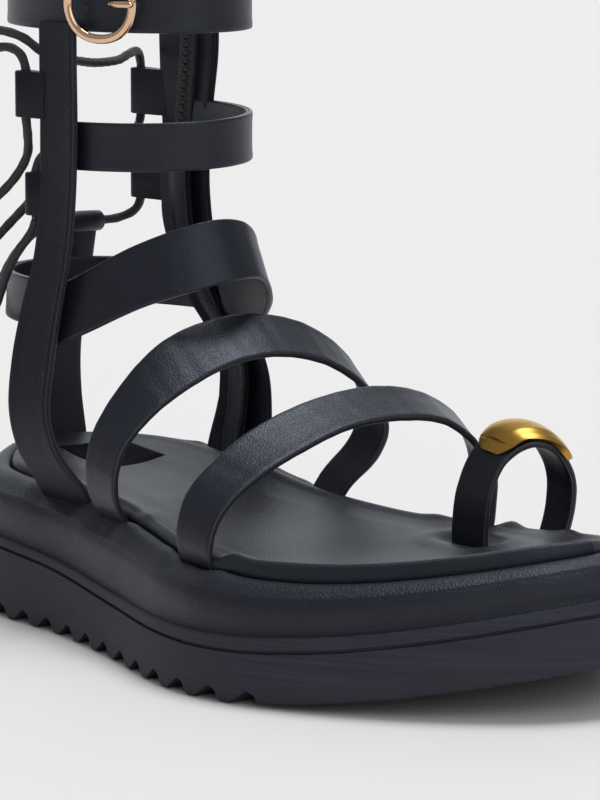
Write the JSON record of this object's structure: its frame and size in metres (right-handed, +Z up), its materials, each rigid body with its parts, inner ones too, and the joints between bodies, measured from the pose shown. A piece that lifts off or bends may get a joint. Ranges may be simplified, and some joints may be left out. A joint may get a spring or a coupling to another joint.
{
  "type": "gladiator sandal",
  "caption": "Platform gladiator sandal with foot straps, a toe ring and an ankle cage of posts and half rings, laced behind and buckled on top.",
  "frame": {"origin": "centre of the shoe's box on the floor, without the slack lace", "axes": "+Z up, toe towards -Y, medial (arch) side towards +X; right foot"},
  "size_m": [0.1152, 0.2524, 0.1864],
  "materials": {
    "outsole_rubber": "matt moulded rubber",
    "black_leather": "smooth black leather with a soft sheen",
    "insole_leather": "black lining leather",
    "gold_metal": "polished yellow gold plating",
    "pale_gold_metal": "polished pale rose-gold plating",
    "zip_tape": "woven tape with a black coil",
    "lace_cord": "waxed round cord"
  },
  "bodies": {
    "root": {"outsole": "outsole_rubber", "footbed_pad": "black_leather", "insole_board": "insole_leather", "front_strap": "black_leather", "instep_strap": "black_leather", "toe_ring": "black_leather", "toe_ring_cap": "gold_metal", "ankle_cage": "black_leather", "zip_chain": "zip_tape", "buckle_frame": "pale_gold_metal", "buckle_prong": "pale_gold_metal", "lace_top_run": "lace_cord", "lace_low_run": "lace_cord", "lace_slack_high": "lace_cord", "lace_slack_low": "lace_cord", "lace_slack_end": "lace_cord"}
  },
  "joints": []
}
